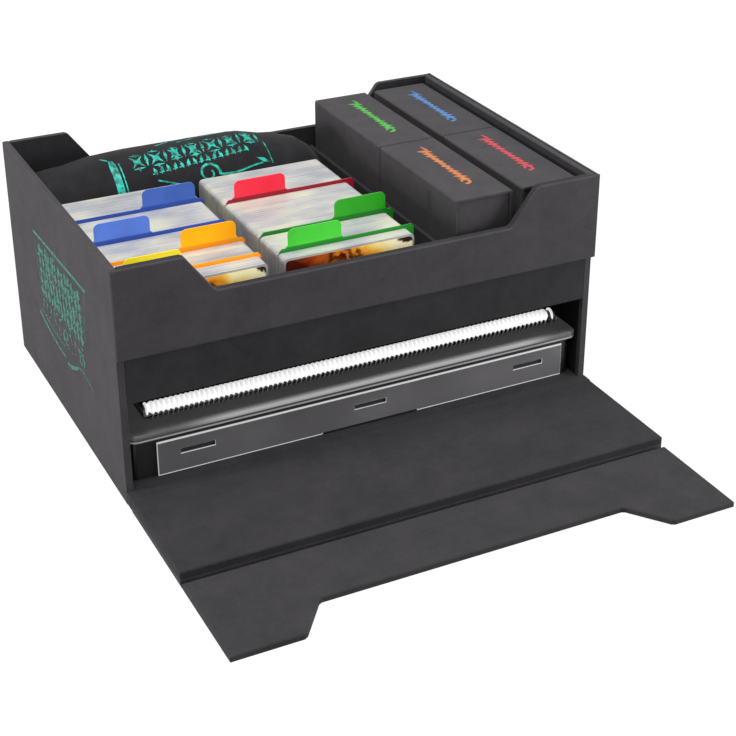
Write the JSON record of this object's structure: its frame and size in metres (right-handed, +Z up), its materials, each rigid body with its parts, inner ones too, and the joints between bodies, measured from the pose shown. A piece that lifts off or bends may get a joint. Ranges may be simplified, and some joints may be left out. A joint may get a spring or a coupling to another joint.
{
  "type": "trading card drawer box",
  "caption": "Suede-wrapped board box with a notched upper tray for sleeved cards, dividers, deck boxes and a rolled mat over a flap-closed compartment with a clear drawer and spiral album.",
  "frame": {"origin": "on the table under the middle of the box, without the open flap", "axes": "+Z up, the opened flap and the drawer towards -Y, +X to the right seen from the flap"},
  "size_m": [0.3401, 0.4085, 0.1615],
  "materials": {
    "charcoal_suede": "short-pile suede wrap on board",
    "light_suede": "short-pile suede lining on board",
    "clear_plastic": "clear smoky plastic",
    "frosted_plastic": "clear plastic with satin face",
    "black_cover": "black plastic cover",
    "album_pages": "black pocket pages",
    "white_coil": "white plastic coil",
    "mat_cloth": "black cloth face with a teal print",
    "card_sleeves": "milky card sleeves",
    "magnet_steel": "plated magnet",
    "divider_red": "red plastic sheet",
    "divider_green": "green plastic sheet",
    "divider_blue": "blue plastic sheet",
    "divider_yellow": "orange-yellow plastic sheet"
  },
  "bodies": {
    "box": {"base_board": "charcoal_suede", "floor_board": "light_suede", "left_wall": "charcoal_suede", "right_wall": "charcoal_suede", "back_wall": "charcoal_suede", "front_wall": "charcoal_suede", "wall_magnets": "magnet_steel", "front_band": "charcoal_suede", "right_band": "charcoal_suede", "mid_shelf": "charcoal_suede", "deck_partition": "charcoal_suede", "card_partition": "charcoal_suede"},
    "hinge": {"hinge_spine": "charcoal_suede"},
    "flap": {"flap_outer_board": "charcoal_suede", "flap_inner_board": "light_suede", "crease_strip": "charcoal_suede"},
    "tip": {"flap_tip": "charcoal_suede", "tip_magnets": "magnet_steel"},
    "drawer": {"drawer_tray": "clear_plastic", "drawer_lid": "clear_plastic", "drawer_front_plate": "frosted_plastic"},
    "album": {"album_back_cover": "black_cover", "album_pages": "album_pages", "album_front_cover": "black_cover", "album_coil": "white_coil"},
    "mat": {"mat_roll": "mat_cloth"},
    "green_deck": {"green_deck_body": "light_suede"},
    "green_cover": {"green_deck_cover": "light_suede"},
    "orange_deck": {"orange_deck_body": "light_suede"},
    "orange_cover": {"orange_deck_cover": "light_suede"},
    "blue_deck": {"blue_deck_body": "light_suede"},
    "blue_cover": {"blue_deck_cover": "light_suede"},
    "red_deck": {"red_deck_body": "light_suede"},
    "red_cover": {"red_deck_cover": "light_suede"},
    "left_cards_1": {"left_cards_1": "card_sleeves"},
    "left_cards_2": {"left_cards_2": "card_sleeves"},
    "left_cards_3": {"left_cards_3": "card_sleeves"},
    "left_cards_4": {"left_cards_4": "card_sleeves"},
    "left_cards_5": {"left_cards_5": "card_sleeves"},
    "left_divider_1": {"left_divider_1": "divider_blue"},
    "left_divider_2": {"left_divider_2": "divider_blue"},
    "left_divider_3": {"left_divider_3": "divider_yellow"},
    "left_divider_4": {"left_divider_4": "divider_yellow"},
    "right_cards_1": {"right_cards_1": "card_sleeves"},
    "right_cards_2": {"right_cards_2": "card_sleeves"},
    "right_cards_3": {"right_cards_3": "card_sleeves"},
    "right_cards_4": {"right_cards_4": "card_sleeves"},
    "right_divider_1": {"right_divider_1": "divider_red"},
    "right_divider_2": {"right_divider_2": "divider_green"},
    "right_divider_3": {"right_divider_3": "divider_green"}
  },
  "joints": [
    {"name": "flap_fold", "type": "hinge", "parent": "hinge", "child": "flap", "pos_m": [0, -0.12765, 0.00965], "axis": [1, 0, 0], "range_deg": [-180, 0]},
    {"name": "spine_drop", "type": "hinge", "parent": "box", "child": "hinge", "pos_m": [0, -0.11915, 0.0085], "axis": [1, 0, 0], "range_deg": [0, 90]},
    {"name": "tip_crease", "type": "hinge", "parent": "flap", "child": "tip", "pos_m": [0, -0.21455, 0.0005], "axis": [1, 0, 0], "range_deg": [-4, 0]},
    {"name": "drawer_slide", "type": "slide", "parent": "box", "child": "drawer", "axis": [0, -1, 0], "range_m": [0, 0.24]},
    {"name": "album_slide", "type": "slide", "parent": "box", "child": "album", "axis": [0, -1, 0], "range_m": [0, 0.24]},
    {"name": "green_deck_lift", "type": "slide", "parent": "box", "child": "green_deck", "axis": [0, 0, 1], "range_m": [0, 0.1]},
    {"name": "green_cover_lift", "type": "slide", "parent": "green_deck", "child": "green_cover", "axis": [0, 0, 1], "range_m": [0, 0.09]},
    {"name": "orange_deck_lift", "type": "slide", "parent": "box", "child": "orange_deck", "axis": [0, 0, 1], "range_m": [0, 0.1]},
    {"name": "orange_cover_lift", "type": "slide", "parent": "orange_deck", "child": "orange_cover", "axis": [0, 0, 1], "range_m": [0, 0.09]},
    {"name": "blue_deck_lift", "type": "slide", "parent": "box", "child": "blue_deck", "axis": [0, 0, 1], "range_m": [0, 0.1]},
    {"name": "blue_cover_lift", "type": "slide", "parent": "blue_deck", "child": "blue_cover", "axis": [0, 0, 1], "range_m": [0, 0.09]},
    {"name": "red_deck_lift", "type": "slide", "parent": "box", "child": "red_deck", "axis": [0, 0, 1], "range_m": [0, 0.1]},
    {"name": "red_cover_lift", "type": "slide", "parent": "red_deck", "child": "red_cover", "axis": [0, 0, 1], "range_m": [0, 0.09]},
    {"name": "mat_lift", "type": "slide", "parent": "box", "child": "mat", "axis": [0, 0, 1], "range_m": [0, 0.095]},
    {"name": "left_cards_1_lift", "type": "slide", "parent": "box", "child": "left_cards_1", "axis": [0, 0, 1], "range_m": [0, 0.095]},
    {"name": "left_cards_2_lift", "type": "slide", "parent": "box", "child": "left_cards_2", "axis": [0, 0, 1], "range_m": [0, 0.095]},
    {"name": "left_cards_3_lift", "type": "slide", "parent": "box", "child": "left_cards_3", "axis": [0, 0, 1], "range_m": [0, 0.095]},
    {"name": "left_cards_4_lift", "type": "slide", "parent": "box", "child": "left_cards_4", "axis": [0, 0, 1], "range_m": [0, 0.095]},
    {"name": "left_cards_5_lift", "type": "slide", "parent": "box", "child": "left_cards_5", "axis": [0, 0, 1], "range_m": [0, 0.095]},
    {"name": "left_divider_1_lift", "type": "slide", "parent": "box", "child": "left_divider_1", "axis": [0, 0, 1], "range_m": [0, 0.095]},
    {"name": "left_divider_2_lift", "type": "slide", "parent": "box", "child": "left_divider_2", "axis": [0, 0, 1], "range_m": [0, 0.095]},
    {"name": "left_divider_3_lift", "type": "slide", "parent": "box", "child": "left_divider_3", "axis": [0, 0, 1], "range_m": [0, 0.095]},
    {"name": "left_divider_4_lift", "type": "slide", "parent": "box", "child": "left_divider_4", "axis": [0, 0, 1], "range_m": [0, 0.095]},
    {"name": "right_cards_1_lift", "type": "slide", "parent": "box", "child": "right_cards_1", "axis": [0, 0, 1], "range_m": [0, 0.095]},
    {"name": "right_cards_2_lift", "type": "slide", "parent": "box", "child": "right_cards_2", "axis": [0, 0, 1], "range_m": [0, 0.095]},
    {"name": "right_cards_3_lift", "type": "slide", "parent": "box", "child": "right_cards_3", "axis": [0, 0, 1], "range_m": [0, 0.095]},
    {"name": "right_cards_4_lift", "type": "slide", "parent": "box", "child": "right_cards_4", "axis": [0, 0, 1], "range_m": [0, 0.095]},
    {"name": "right_divider_1_lift", "type": "slide", "parent": "box", "child": "right_divider_1", "axis": [0, 0, 1], "range_m": [0, 0.095]},
    {"name": "right_divider_2_lift", "type": "slide", "parent": "box", "child": "right_divider_2", "axis": [0, 0, 1], "range_m": [0, 0.095]},
    {"name": "right_divider_3_lift", "type": "slide", "parent": "box", "child": "right_divider_3", "axis": [0, 0, 1], "range_m": [0, 0.095]}
  ],
  "couplings": [
    {"joint": "spine_drop", "follows": "flap_fold", "ratio": -0.5}
  ]
}
